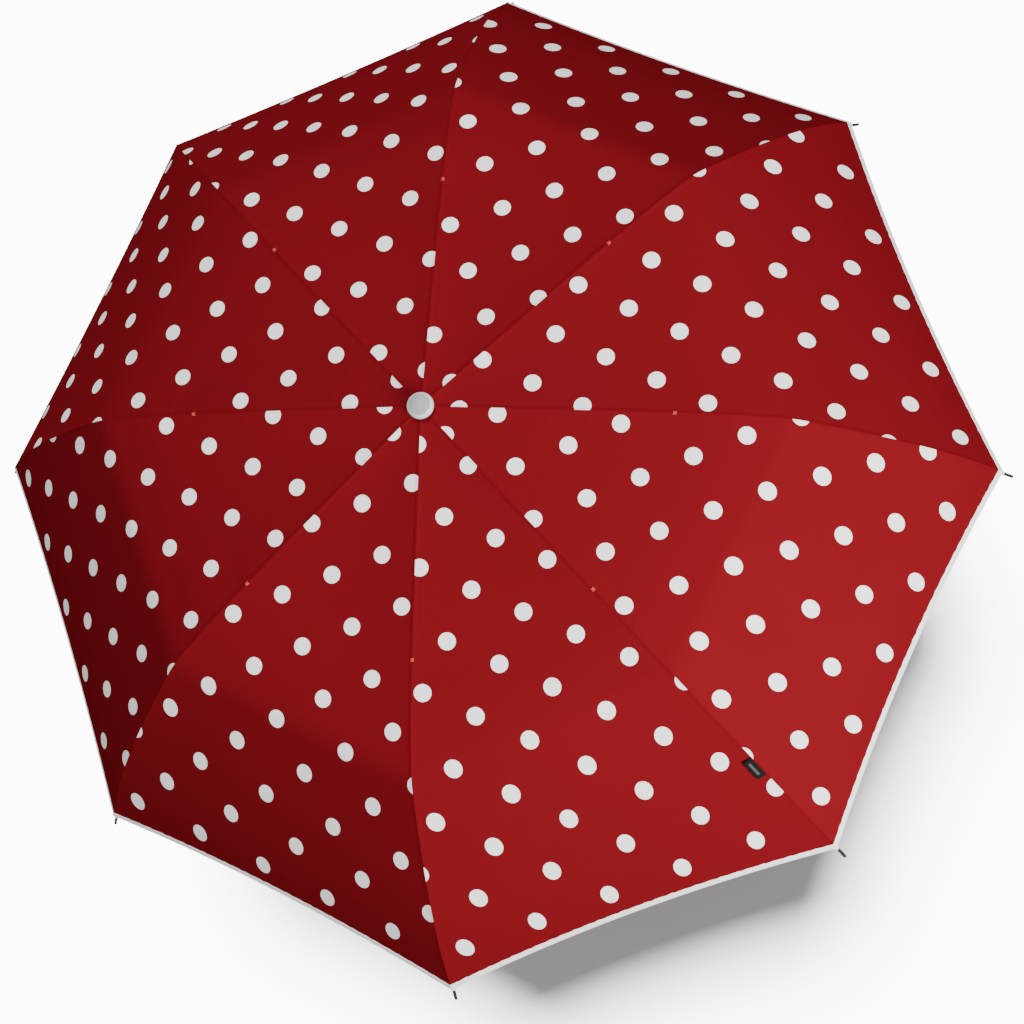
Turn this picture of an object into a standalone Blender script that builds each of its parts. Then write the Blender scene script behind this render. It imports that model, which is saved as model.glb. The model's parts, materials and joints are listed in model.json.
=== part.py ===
"""Children's folding umbrella, open: three-section shaft, eight three-piece ribs, eight-gore canopy.

Metres, +Z up. The origin is the centre of the handle's bottom face, with the shaft along +Z.
Rib 1 lies along +X, and the ribs are numbered clockwise as seen from above. Each rib is laid out
in its own plane: x is the distance from the shaft, y is across the rib and z is up.
"""

import math

import bmesh
import bpy
import numpy as np
from mathutils import Matrix

# Whole object
RIBS = 8
APEX_Z = 0.566
HEM_RADIUS = 0.430
TOUCH_GAP = 0.0003

# Canopy: height below the apex at each distance from the shaft, along a rib
CANOPY_PROFILE = [
    (0.000, 0.0000),
    (0.100, -0.0105),
    (0.189, -0.0210),
    (0.250, -0.0330),
    (0.286, -0.0495),
    (0.320, -0.0765),
    (0.360, -0.1145),
    (0.400, -0.1605),
    (HEM_RADIUS, -0.2044),
]
CANOPY_START = 0.0048
FABRIC_THICKNESS = 0.0006
SEAM_GAP = 0.00025
HEM_SCALLOP = 0.014
GORE_SAG = 0.0015
GORE_ROWS = 11
GORE_COLUMNS = 4

# Rib sections: hinge places along each rib, from the crown outwards
CROWN_HINGE = (0.0095, -0.0065)
INNER_LENGTH = 0.158
INNER_SLOPE = math.radians(-6.0)
MIDDLE_LENGTH = 0.130
MIDDLE_SLOPE = math.radians(-15.5)
OUTER_LENGTH = 0.2067
OUTER_CHORD_SLOPE = math.radians(-48.0)
OUTER_BEND = math.radians(16.0)
OUTER_STEPS = 12
HINGE_OFFSET = 0.002
RIB_HALF_HEIGHT = 0.0012
RIB_HALF_WIDTH = 0.0013
ROD_RADIUS = 0.0010
EYE_RADIUS = 0.0013
EYE_SEGMENTS = 12
LUG_INNER_FACE = 0.00015
LUG_OUTER_FACE = 0.00120
LUG_CLEARANCE = 0.0027
LUG_OVERLAP = 0.0012
LUG_HALF_THICKNESS = 0.0010
LUG_HALF_HEIGHT = 0.0010
EAR_HALF_LENGTH = 0.002
EAR_MARGIN = 0.004
CENTRE_LUG = (-LUG_HALF_THICKNESS, LUG_HALF_THICKNESS)
LEFT_LUG = (LUG_INNER_FACE, LUG_OUTER_FACE)
RIGHT_LUG = (-LUG_OUTER_FACE, -LUG_INNER_FACE)
GROOVE_HALF_WIDTH = 0.0007
GROOVE_DEPTH = 0.0015
GROOVE_MARGIN = 0.007

# Stretchers, from the inner rib to the runner
STRETCHER_PLACE = 0.080
STRETCHER_DROP = 0.0028
STRETCHER_HALF_HEIGHT = 0.0010
STRETCHER_LUG_HALF_HEIGHT = 0.0008
RUNNER_HINGE = (0.0095, -0.0565)

# Rib tips
TIP_START = 0.2027
TIP_LENGTH = 0.0195
TIP_RADIUS = 0.0017
TIP_SOCKET_RADIUS = 0.0013
TIP_SOCKET_DEPTH = 0.0045

# Shaft: outer radius, inner radius, bottom and top of each tube
UPPER_TUBE = (0.0065, 0.0059, 0.354, APEX_Z - 0.0098)
MIDDLE_TUBE = (0.0056, 0.0050, 0.225, 0.404)
LOWER_TUBE = (0.0047, 0.0042, 0.030, 0.270)

# Crown and top cap
CROWN_RADIUS = 0.012
NOTCH_HALF_HEIGHT = 0.003
NOTCH_WIDTH = 0.0034
NOTCH_FLOOR = 0.0079
CROWN_PLUG_RADIUS = 0.0056
CROWN_PLUG_DEPTH = 0.015
CROWN_STUD_RADIUS = 0.0026
CROWN_STUD_TOP = 0.0030
CAP_RADIUS = 0.0103
CAP_BOTTOM = 0.0005
CAP_TOP = 0.0050
CAP_RIM_WIDTH = 0.0013

# Runner and its press button
RUNNER_BORE = 0.0068
RUNNER_DISC_RADIUS = 0.0125
RUNNER_NECK_RADIUS = 0.0083
RUNNER_GRIP_RADIUS = 0.0110
RUNNER_NECK_END = -0.021
RUNNER_GRIP_START = -0.023
RUNNER_BOTTOM = -0.034
BUTTON_ANGLE = math.radians(22.5)
BUTTON_HALF_WIDTH = 0.0030
BUTTON_HALF_HEIGHT = 0.0028
BUTTON_INNER = 0.0099
BUTTON_OUTER = 0.0126
BUTTON_POCKET_FLOOR = 0.0080

# Handle, its end cap and the cup that takes the rib tips
HANDLE_BOTTOM_RADIUS = 0.0150
HANDLE_WAIST_RADIUS = 0.0165
HANDLE_TOP_RADIUS = 0.0190
HANDLE_TOP = 0.054
HANDLE_BORE = LOWER_TUBE[0] + TOUCH_GAP
END_CAP_RADIUS = 0.0150
END_CAP_HEIGHT = 0.004
CUP_BOTTOM = HANDLE_TOP + TOUCH_GAP
CUP_FLOOR = 0.0565
CUP_TOP = 0.078
CUP_RADIUS = 0.0258
CUP_INNER_RADIUS = 0.0238

# Label on the seam of rib 4, and the tie strap under the canopy beside rib 6
LABEL_RIB = 4
LABEL_PLACE = 0.353
LABEL_SIZE = (0.021, 0.008, 0.0005)
LABEL_LIFT = 0.0009
STRAP_RIB = 6
STRAP_START = 0.300
STRAP_LENGTH = 0.090
STRAP_WIDTH = 0.014
STRAP_OFFSET = 0.004
STRAP_DROP = 0.0030
STRAP_THICKNESS = 0.0008
STRAP_SLOPE_PLACE = 0.36

ROUND_STEPS = 48
HANDLE_PIECES = ("handle", "handle_end_cap", "tip_cup")


# ---------------------------------------------------------------- scene and helpers


def clear_scene():
    for obj in list(bpy.data.objects):
        bpy.data.objects.remove(obj, do_unlink=True)


def new_collection(name):
    collection = bpy.data.collections.new(name)
    bpy.context.scene.collection.children.link(collection)
    return collection


def new_material(name, colour, roughness, metallic=0.0):
    material = bpy.data.materials.new(name)
    material.use_nodes = True
    shader = material.node_tree.nodes["Principled BSDF"]
    shader.inputs["Base Color"].default_value = (*colour, 1.0)
    shader.inputs["Roughness"].default_value = roughness
    shader.inputs["Metallic"].default_value = metallic
    return material


def add_object(name, mesh, collection, material=None):
    obj = bpy.data.objects.new(name, mesh)
    collection.objects.link(obj)
    if material is not None and not mesh.materials:
        mesh.materials.append(material)
    return obj


def evaluated_mesh(obj, name):
    """The object's mesh with its modifiers or bevel in it, and its caps welded on."""
    bpy.context.view_layer.update()
    graph = bpy.context.evaluated_depsgraph_get()
    mesh = bpy.data.meshes.new_from_object(obj.evaluated_get(graph))
    mesh.name = name
    work = bmesh.new()
    work.from_mesh(mesh)
    bmesh.ops.remove_doubles(work, verts=work.verts, dist=1e-6)
    bmesh.ops.recalc_face_normals(work, faces=work.faces)
    work.to_mesh(mesh)
    work.free()
    return mesh


def shade_round(mesh):
    mesh.shade_smooth()
    mesh.set_sharp_from_angle(angle=math.radians(35.0))


def plate(outline, y_low, y_high):
    """A flat outline in the rib's x-z plane, extruded across the rib from y_low to y_high."""
    curve = bpy.data.curves.new("outline", "CURVE")
    curve.dimensions = "2D"
    curve.fill_mode = "BOTH"
    curve.extrude = (y_high - y_low) / 2.0
    spline = curve.splines.new("POLY")
    spline.points.add(len(outline) - 1)
    spline.use_cyclic_u = True
    for point, (x, z) in zip(spline.points, outline):
        point.co = (x, z, 0.0, 1.0)
    obj = bpy.data.objects.new("outline", curve)
    cutters.objects.link(obj)
    mesh = evaluated_mesh(obj, "plate")
    bpy.data.objects.remove(obj)
    upright = Matrix.Translation((0.0, (y_low + y_high) / 2.0, 0.0)) @ Matrix.Rotation(math.pi / 2.0, 4, "X")
    mesh.transform(upright)
    return mesh


def box(low, high):
    size = [b - a for a, b in zip(low, high)]
    centre = [(a + b) / 2.0 for a, b in zip(low, high)]
    work = bmesh.new()
    bmesh.ops.create_cube(work, size=1.0, matrix=Matrix.Translation(centre) @ Matrix.Diagonal((*size, 1.0)))
    mesh = bpy.data.meshes.new("box")
    work.to_mesh(mesh)
    work.free()
    return mesh


def turned(name, profile, closed, steps=ROUND_STEPS):
    """A profile of (radius, height) points, run down its outer side, turned about Z."""
    work = bmesh.new()
    verts = [work.verts.new((radius, 0.0, height)) for radius, height in profile]
    for first, second in zip(verts, verts[1:]):
        work.edges.new((first, second))
    if closed:
        work.edges.new((verts[-1], verts[0]))
    mesh = bpy.data.meshes.new(name)
    work.to_mesh(mesh)
    work.free()
    obj = bpy.data.objects.new(name, mesh)
    cutters.objects.link(obj)
    screw = obj.modifiers.new("Screw", "SCREW")
    screw.steps = steps
    screw.render_steps = steps
    screw.use_merge_vertices = True
    screw.merge_threshold = 1e-5
    result = evaluated_mesh(obj, name)
    bpy.data.objects.remove(obj)
    return result


def combine(name, base, others, operation):
    """One mesh from a base mesh and others, joined to it or cut from it in turn."""
    obj = bpy.data.objects.new(name, base)
    cutters.objects.link(obj)
    tools = []
    for number, mesh in enumerate(others):
        tool = bpy.data.objects.new(f"{name}_tool_{number}", mesh)
        cutters.objects.link(tool)
        tools.append(tool)
        modifier = obj.modifiers.new("Boolean", "BOOLEAN")
        modifier.operation = operation
        modifier.object = tool
    result = evaluated_mesh(obj, name)
    for tool in [obj, *tools]:
        bpy.data.objects.remove(tool)
    return result


# ---------------------------------------------------------------- rib geometry


def along(place, slope, distance, rise=0.0):
    """The point at a distance along a sloping line, and at a height square to it."""
    x = place[0] + distance * math.cos(slope) - rise * math.sin(slope)
    z = place[1] + distance * math.sin(slope) + rise * math.cos(slope)
    return (x, z)


INNER_HINGE = along(CROWN_HINGE, INNER_SLOPE, INNER_LENGTH, HINGE_OFFSET)
MIDDLE_START = along(INNER_HINGE, MIDDLE_SLOPE, 0.0, -HINGE_OFFSET)
MIDDLE_END = along(MIDDLE_START, MIDDLE_SLOPE, MIDDLE_LENGTH)
OUTER_HINGE = along(MIDDLE_END, MIDDLE_SLOPE, 0.0, -HINGE_OFFSET)
STRETCHER_HINGE = along(CROWN_HINGE, INNER_SLOPE, STRETCHER_PLACE, -STRETCHER_DROP)
STRETCHER_LENGTH = math.dist(STRETCHER_HINGE, RUNNER_HINGE)
STRETCHER_SLOPE = math.atan2(RUNNER_HINGE[1] - STRETCHER_HINGE[1], RUNNER_HINGE[0] - STRETCHER_HINGE[0])


def circle_points(centre, radius, start, end):
    steps = max(2, round(EYE_SEGMENTS * abs(end - start) / math.tau))
    angles = np.linspace(start, end, steps + 1)
    return [(centre[0] + radius * math.cos(a), centre[1] + radius * math.sin(a)) for a in angles]


def eye_lug(centre, side, bar_x, bar_half, y_low, y_high):
    """A lug from the end of a bar at bar_x to an eye; side is +1 where the eye lies at greater x."""
    top = circle_points(centre, EYE_RADIUS, math.pi / 2.0, 0.0)
    bottom = circle_points(centre, EYE_RADIUS, 0.0, -math.pi / 2.0)
    outline = [(bar_x, bar_half), *top, *bottom[1:], (bar_x, -bar_half)]
    if side < 0:
        outline = [(2.0 * centre[0] - x, z) for x, z in outline]
        outline[0] = (bar_x, bar_half)
        outline[-1] = (bar_x, -bar_half)
    return plate(outline, y_low, y_high)


def bar(x_low, x_high, half_height):
    return box((x_low, -RIB_HALF_WIDTH, -half_height), (x_high, RIB_HALF_WIDTH, half_height))


def groove(x_low, x_high, half_height, side):
    """The hollow of a channel section, open on the side given by the sign."""
    low = half_height - GROOVE_DEPTH
    high = half_height + 0.001
    z_low, z_high = (low, high) if side > 0 else (-high, -low)
    return box((x_low, -GROOVE_HALF_WIDTH, z_low), (x_high, GROOVE_HALF_WIDTH, z_high))


def inner_rib_mesh():
    """Origin on the crown hinge, x along the rib."""
    end = INNER_LENGTH - LUG_CLEARANCE
    start = LUG_CLEARANCE + 0.002
    crown_eye = eye_lug((0.0, 0.0), -1, start + LUG_OVERLAP, LUG_HALF_HEIGHT, *CENTRE_LUG)
    fold_eye = eye_lug((INNER_LENGTH, HINGE_OFFSET), 1, end - LUG_OVERLAP, LUG_HALF_HEIGHT, *LEFT_LUG)
    drop = (STRETCHER_PLACE, -STRETCHER_DROP)
    ear_top = -RIB_HALF_HEIGHT + 0.0004
    eye = circle_points(drop, EYE_RADIUS - 0.0001, 0.0, -math.pi)
    ear = plate(
        [(STRETCHER_PLACE - EAR_HALF_LENGTH, ear_top), (STRETCHER_PLACE + EAR_HALF_LENGTH, ear_top), *eye],
        *LEFT_LUG,
    )
    solid = combine("inner_rib", bar(start, end, RIB_HALF_HEIGHT), [crown_eye, fold_eye, ear], "UNION")
    hollows = [
        groove(start + GROOVE_MARGIN, STRETCHER_PLACE - EAR_MARGIN, RIB_HALF_HEIGHT, -1),
        groove(STRETCHER_PLACE + EAR_MARGIN, end - GROOVE_MARGIN, RIB_HALF_HEIGHT, -1),
    ]
    return combine("inner_rib", solid, hollows, "DIFFERENCE")


def middle_rib_mesh():
    """Origin on the hinge to the inner rib, which lies above this rib's centre line."""
    body = bar(LUG_CLEARANCE, MIDDLE_LENGTH - LUG_CLEARANCE, RIB_HALF_HEIGHT)
    near = eye_lug((0.0, HINGE_OFFSET), -1, LUG_CLEARANCE + LUG_OVERLAP, LUG_HALF_HEIGHT, *RIGHT_LUG)
    far_x = MIDDLE_LENGTH - LUG_CLEARANCE - LUG_OVERLAP
    far = eye_lug((MIDDLE_LENGTH, -HINGE_OFFSET), 1, far_x, LUG_HALF_HEIGHT, *LEFT_LUG)
    solid = combine("middle_rib", body, [near, far], "UNION")
    hollow = groove(LUG_CLEARANCE + GROOVE_MARGIN, far_x - GROOVE_MARGIN, RIB_HALF_HEIGHT, 1)
    solid = combine("middle_rib", solid, [hollow], "DIFFERENCE")
    solid.transform(Matrix.Translation((0.0, 0.0, -HINGE_OFFSET)))
    return solid


def outer_arc(distance):
    """The outer rib's centre line from its hinge end, as (x, z, slope), in plane coordinates."""
    start_slope = OUTER_CHORD_SLOPE + OUTER_BEND / 2.0
    radius = OUTER_LENGTH / OUTER_BEND
    slope = start_slope - distance / radius
    x = MIDDLE_END[0] + radius * (math.sin(start_slope) - math.sin(slope))
    z = MIDDLE_END[1] + radius * (math.cos(slope) - math.cos(start_slope))
    return x, z, slope


def outer_rib_mesh():
    """Origin on the hinge to the middle rib, in upright plane coordinates."""
    curve = bpy.data.curves.new("rod", "CURVE")
    curve.dimensions = "3D"
    curve.bevel_depth = ROD_RADIUS
    curve.bevel_resolution = 1
    curve.use_fill_caps = True
    spline = curve.splines.new("POLY")
    spline.points.add(OUTER_STEPS)
    places = np.linspace(LUG_CLEARANCE, OUTER_LENGTH, OUTER_STEPS + 1)
    for point, place in zip(spline.points, places):
        x, z, _ = outer_arc(place)
        point.co = (x - OUTER_HINGE[0], 0.0, z - OUTER_HINGE[1], 1.0)
    obj = bpy.data.objects.new("rod", curve)
    cutters.objects.link(obj)
    rod = evaluated_mesh(obj, "rod")
    bpy.data.objects.remove(obj)
    _, _, slope = outer_arc(0.0)
    rod_start = (MIDDLE_END[0] - OUTER_HINGE[0], MIDDLE_END[1] - OUTER_HINGE[1])
    half = ROD_RADIUS * 0.7
    upper = along(rod_start, slope, LUG_CLEARANCE + LUG_OVERLAP, half)
    lower = along(rod_start, slope, LUG_CLEARANCE + LUG_OVERLAP, -half)
    eye = circle_points((0.0, 0.0), EYE_RADIUS, slope - math.pi / 2.0, slope - 3.0 * math.pi / 2.0)
    lug = plate([upper, lower, *eye], *RIGHT_LUG)
    return combine("outer_rib", rod, [lug], "UNION")


def stretcher_mesh():
    """Origin on the hinge to the inner rib, x along the stretcher towards the runner."""
    start = LUG_CLEARANCE
    end = STRETCHER_LENGTH - LUG_CLEARANCE - 0.001
    near = eye_lug((0.0, 0.0), -1, start + LUG_OVERLAP, STRETCHER_LUG_HALF_HEIGHT, *RIGHT_LUG)
    far = eye_lug((STRETCHER_LENGTH, 0.0), 1, end - LUG_OVERLAP, STRETCHER_LUG_HALF_HEIGHT, *CENTRE_LUG)
    solid = combine("stretcher", bar(start, end, STRETCHER_HALF_HEIGHT), [near, far], "UNION")
    hollow = groove(start + GROOVE_MARGIN, end - GROOVE_MARGIN, STRETCHER_HALF_HEIGHT, 1)
    return combine("stretcher", solid, [hollow], "DIFFERENCE")


def rib_tip_mesh():
    """A turned cap with a socket for the rod, lying along x from its open end."""
    profile = [
        (0.0, TIP_LENGTH),
        (TIP_RADIUS * 0.55, TIP_LENGTH - 0.0004),
        (TIP_RADIUS * 0.80, TIP_LENGTH - 0.0014),
        (TIP_RADIUS * 0.80, TIP_SOCKET_DEPTH + 0.0030),
        (TIP_RADIUS, TIP_SOCKET_DEPTH + 0.0015),
        (TIP_RADIUS, 0.0),
        (TIP_SOCKET_RADIUS, 0.0),
        (TIP_SOCKET_RADIUS, TIP_SOCKET_DEPTH),
        (0.0, TIP_SOCKET_DEPTH),
    ]
    mesh = turned("rib_tip", profile, closed=False, steps=12)
    mesh.transform(Matrix.Rotation(math.pi / 2.0, 4, "Y"))
    return mesh


# ---------------------------------------------------------------- canopy


def profile_curve():
    """Distance along the profile, radius and height, as smooth functions of the distance."""
    radius = np.array([point[0] for point in CANOPY_PROFILE])
    height = np.array([point[1] for point in CANOPY_PROFILE])
    slope = np.gradient(height, radius)
    fine_radius = np.linspace(0.0, HEM_RADIUS, 400)
    index = np.clip(np.searchsorted(radius, fine_radius, side="right") - 1, 0, len(radius) - 2)
    step = radius[index + 1] - radius[index]
    t = (fine_radius - radius[index]) / step
    fine_height = (
        (2 * t**3 - 3 * t**2 + 1) * height[index]
        + (t**3 - 2 * t**2 + t) * step * slope[index]
        + (3 * t**2 - 2 * t**3) * height[index + 1]
        + (t**3 - t**2) * step * slope[index + 1]
    )
    arc = np.concatenate([[0.0], np.cumsum(np.hypot(np.diff(fine_radius), np.diff(fine_height)))])
    return arc, fine_radius, fine_height


def canopy_panel_mesh():
    """The gore between rib 1 and rib 2, in world axes about the apex."""
    arc, radius, height = profile_curve()
    first = float(np.interp(CANOPY_START, radius, arc))
    turn = -math.tau / RIBS
    work = bmesh.new()
    bmesh.ops.create_grid(work, x_segments=GORE_COLUMNS, y_segments=GORE_ROWS, size=0.5)
    for vert in work.verts:
        across = vert.co.x + 0.5
        down = vert.co.y + 0.5
        scallop = HEM_SCALLOP * 4.0 * across * (1.0 - across)
        place = first + down * (arc[-1] - scallop * down - first)
        r = float(np.interp(place, arc, radius))
        z = float(np.interp(place, arc, height))
        edge = SEAM_GAP / (r * math.sin(-turn))
        across = edge + across * (1.0 - 2.0 * edge)
        x = r * ((1.0 - across) + across * math.cos(turn))
        y = r * across * math.sin(turn)
        sag = GORE_SAG * 4.0 * across * (1.0 - across) * min(1.0, r / 0.2)
        vert.co = (x, y, z - sag)
    bmesh.ops.recalc_face_normals(work, faces=work.faces)
    mesh = bpy.data.meshes.new("canopy_panel")
    work.to_mesh(mesh)
    work.free()
    if mesh.polygons[0].normal.z < 0.0:
        mesh.flip_normals()
    return mesh


def canopy_point(r):
    """Height and slope of the canopy's upper side at radius r on a rib."""
    _, radius, height = profile_curve()
    step = 0.004
    low = float(np.interp(r - step, radius, height))
    high = float(np.interp(r + step, radius, height))
    return float(np.interp(r, radius, height)), math.atan2(high - low, 2.0 * step)


# ---------------------------------------------------------------- shaft pieces


def tube_mesh(name, tube):
    outer, inner, bottom, top = tube
    return turned(name, [(inner, top), (outer, top), (outer, bottom), (inner, bottom)], closed=True)


def notch_cutters(height):
    """Eight radial slots through a disc whose hinges lie at the given height."""
    slots = []
    reach = 0.020
    for number in range(RIBS):
        slot = box(
            (NOTCH_FLOOR, -NOTCH_WIDTH / 2.0, height - NOTCH_HALF_HEIGHT - 0.001),
            (reach, NOTCH_WIDTH / 2.0, height + NOTCH_HALF_HEIGHT + 0.001),
        )
        slot.transform(Matrix.Rotation(number * math.tau / RIBS, 4, "Z"))
        slots.append(slot)
    return slots


def crown_mesh():
    hinge = APEX_Z + CROWN_HINGE[1]
    top = hinge + NOTCH_HALF_HEIGHT
    bottom = hinge - NOTCH_HALF_HEIGHT
    profile = [
        (0.0, APEX_Z + CROWN_STUD_TOP),
        (CROWN_STUD_RADIUS, APEX_Z + CROWN_STUD_TOP),
        (CROWN_STUD_RADIUS, top),
        (CROWN_RADIUS, top),
        (CROWN_RADIUS, bottom),
        (CROWN_PLUG_RADIUS, bottom),
        (CROWN_PLUG_RADIUS, bottom - CROWN_PLUG_DEPTH),
        (0.0, bottom - CROWN_PLUG_DEPTH),
    ]
    return combine("crown", turned("crown", profile, closed=False), notch_cutters(hinge), "DIFFERENCE")


def top_cap_mesh():
    socket = CROWN_STUD_RADIUS + TOUCH_GAP
    profile = [
        (0.0, APEX_Z + CAP_TOP),
        (CAP_RADIUS - CAP_RIM_WIDTH - 0.0006, APEX_Z + CAP_TOP),
        (CAP_RADIUS - CAP_RIM_WIDTH, APEX_Z + CAP_TOP - 0.0005),
        (CAP_RADIUS - 0.0004, APEX_Z + CAP_TOP - 0.0016),
        (CAP_RADIUS, APEX_Z + CAP_TOP - 0.0026),
        (CAP_RADIUS, APEX_Z + CAP_BOTTOM),
        (socket, APEX_Z + CAP_BOTTOM),
        (socket, APEX_Z + CROWN_STUD_TOP + TOUCH_GAP),
        (0.0, APEX_Z + CROWN_STUD_TOP + TOUCH_GAP),
    ]
    return turned("top_cap", profile, closed=False)


def runner_mesh():
    hinge = APEX_Z + RUNNER_HINGE[1]
    top = hinge + NOTCH_HALF_HEIGHT
    disc_bottom = hinge - NOTCH_HALF_HEIGHT
    profile = [
        (RUNNER_BORE, top),
        (RUNNER_DISC_RADIUS - 0.0006, top),
        (RUNNER_DISC_RADIUS, top - 0.0006),
        (RUNNER_DISC_RADIUS, disc_bottom + 0.0006),
        (RUNNER_DISC_RADIUS - 0.0006, disc_bottom),
        (RUNNER_NECK_RADIUS, disc_bottom),
        (RUNNER_NECK_RADIUS, hinge + RUNNER_NECK_END),
        (RUNNER_GRIP_RADIUS, hinge + RUNNER_GRIP_START),
        (RUNNER_GRIP_RADIUS, hinge + RUNNER_BOTTOM + 0.0008),
        (RUNNER_GRIP_RADIUS - 0.0008, hinge + RUNNER_BOTTOM),
        (RUNNER_BORE, hinge + RUNNER_BOTTOM),
    ]
    solid = turned("runner", profile, closed=True)
    centre = hinge + (RUNNER_GRIP_START + RUNNER_BOTTOM) / 2.0
    pocket = box(
        (BUTTON_POCKET_FLOOR, -BUTTON_HALF_WIDTH - TOUCH_GAP, centre - BUTTON_HALF_HEIGHT - TOUCH_GAP),
        (0.016, BUTTON_HALF_WIDTH + TOUCH_GAP, centre + BUTTON_HALF_HEIGHT + TOUCH_GAP),
    )
    pocket.transform(Matrix.Rotation(BUTTON_ANGLE, 4, "Z"))
    return combine("runner", solid, [*notch_cutters(hinge), pocket], "DIFFERENCE")


def button_mesh():
    """Origin on the shaft's axis at the button's height, x along its travel."""
    return box(
        (BUTTON_INNER, -BUTTON_HALF_WIDTH, -BUTTON_HALF_HEIGHT),
        (BUTTON_OUTER, BUTTON_HALF_WIDTH, BUTTON_HALF_HEIGHT),
    )


def handle_mesh():
    bore_bottom = LOWER_TUBE[2] - TOUCH_GAP
    bottom = END_CAP_HEIGHT + TOUCH_GAP
    profile = [
        (HANDLE_BORE, HANDLE_TOP),
        (HANDLE_TOP_RADIUS - 0.001, HANDLE_TOP),
        (HANDLE_TOP_RADIUS, HANDLE_TOP - 0.001),
        (HANDLE_TOP_RADIUS - 0.0008, HANDLE_TOP - 0.008),
        (HANDLE_WAIST_RADIUS, HANDLE_TOP - 0.018),
        (HANDLE_WAIST_RADIUS - 0.0003, HANDLE_TOP - 0.028),
        (HANDLE_BOTTOM_RADIUS + 0.0010, HANDLE_TOP - 0.040),
        (HANDLE_BOTTOM_RADIUS, bottom),
        (0.0, bottom),
        (0.0, bore_bottom),
        (HANDLE_BORE, bore_bottom),
    ]
    order = profile[9:] + profile[:9]
    return turned("handle", order, closed=False)


def end_cap_mesh():
    profile = [
        (0.0, END_CAP_HEIGHT),
        (END_CAP_RADIUS, END_CAP_HEIGHT),
        (END_CAP_RADIUS, 0.0014),
        (END_CAP_RADIUS - 0.0004, 0.0004),
        (END_CAP_RADIUS - 0.0014, 0.0),
        (0.0, 0.0),
    ]
    return turned("handle_end_cap", profile, closed=False)


def tip_cup_mesh():
    profile = [
        (HANDLE_BORE, CUP_FLOOR),
        (CUP_INNER_RADIUS - 0.002, CUP_FLOOR),
        (CUP_INNER_RADIUS, CUP_FLOOR + 0.003),
        (CUP_INNER_RADIUS, CUP_TOP - 0.0006),
        (CUP_INNER_RADIUS + 0.0006, CUP_TOP),
        (CUP_RADIUS - 0.0006, CUP_TOP),
        (CUP_RADIUS, CUP_TOP - 0.0006),
        (CUP_RADIUS, CUP_BOTTOM + 0.008),
        (CUP_RADIUS - 0.0020, CUP_BOTTOM + 0.003),
        (HANDLE_TOP_RADIUS, CUP_BOTTOM),
        (HANDLE_BORE, CUP_BOTTOM),
    ]
    return turned("tip_cup", profile, closed=True)


# ---------------------------------------------------------------- soft trim


def label_mesh():
    """A flat label on the canopy beside the seam, along the rib, origin at its middle."""
    length, width, thickness = LABEL_SIZE
    return box((-length / 2.0, -width - SEAM_GAP, 0.0), (length / 2.0, -SEAM_GAP, thickness))


def strap_mesh():
    """A flat strap along the rib, origin on its end over the rib."""
    return box((0.0, STRAP_OFFSET, -STRAP_THICKNESS), (STRAP_LENGTH, STRAP_OFFSET + STRAP_WIDTH, 0.0))


def gore_bank(slope):
    """The angle at which a flat gore falls away across a rib that slopes down."""
    return math.atan(math.tan(math.pi / RIBS) * math.sin(-slope))


# ---------------------------------------------------------------- assembly


def hinge_empty(name, rib, place, slope):
    """An empty on a hinge axis of one rib: x runs outwards along the slope, y is the axis."""
    empty = bpy.data.objects.new(name, None)
    parts.objects.link(empty)
    turn = Matrix.Rotation(-(rib - 1) * math.tau / RIBS, 4, "Z")
    spot = Matrix.Translation((place[0], 0.0, APEX_Z + place[1]))
    empty.matrix_world = turn @ spot @ Matrix.Rotation(-slope, 4, "Y")
    return empty


def hang(name, mesh, material, empty, offset=(0.0, 0.0, 0.0), slope=0.0):
    obj = add_object(name, mesh, parts, material)
    obj.parent = empty
    obj.matrix_parent_inverse = Matrix.Identity(4)
    obj.matrix_local = Matrix.Translation(offset) @ Matrix.Rotation(-slope, 4, "Y")
    return obj


def build_ribs():
    meshes = {
        "inner_rib": inner_rib_mesh(),
        "middle_rib": middle_rib_mesh(),
        "outer_rib": outer_rib_mesh(),
        "stretcher": stretcher_mesh(),
        "rib_tip": rib_tip_mesh(),
    }
    shade_round(meshes["outer_rib"])
    shade_round(meshes["rib_tip"])
    tip_x, tip_z, tip_slope = outer_arc(TIP_START)
    tip_place = (tip_x - OUTER_HINGE[0], 0.0, tip_z - OUTER_HINGE[1])
    for rib in range(1, RIBS + 1):
        crown_pin = hinge_empty(f"crown_pin_{rib}", rib, CROWN_HINGE, INNER_SLOPE)
        fold_pin = hinge_empty(f"fold_pin_{rib}", rib, INNER_HINGE, MIDDLE_SLOPE)
        outer_pin = hinge_empty(f"outer_pin_{rib}", rib, OUTER_HINGE, 0.0)
        stay_pin = hinge_empty(f"stay_pin_{rib}", rib, STRETCHER_HINGE, STRETCHER_SLOPE)
        hang(f"inner_rib_{rib}", meshes["inner_rib"], steel, crown_pin)
        hang(f"middle_rib_{rib}", meshes["middle_rib"], steel, fold_pin)
        hang(f"outer_rib_{rib}", meshes["outer_rib"], steel, outer_pin)
        hang(f"stretcher_{rib}", meshes["stretcher"], steel, stay_pin)
        hang(f"rib_tip_{rib}", meshes["rib_tip"], dark_plastic, outer_pin, tip_place, tip_slope)


def build_canopy():
    mesh = canopy_panel_mesh()
    for rib in range(1, RIBS + 1):
        panel = add_object(f"canopy_panel_{rib}", mesh, parts, fabric)
        panel.matrix_world = Matrix.Translation((0.0, 0.0, APEX_Z)) @ Matrix.Rotation(
            -(rib - 1) * math.tau / RIBS, 4, "Z"
        )
        shell = panel.modifiers.new("Solidify", "SOLIDIFY")
        shell.thickness = FABRIC_THICKNESS
        shell.offset = -1.0


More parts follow.
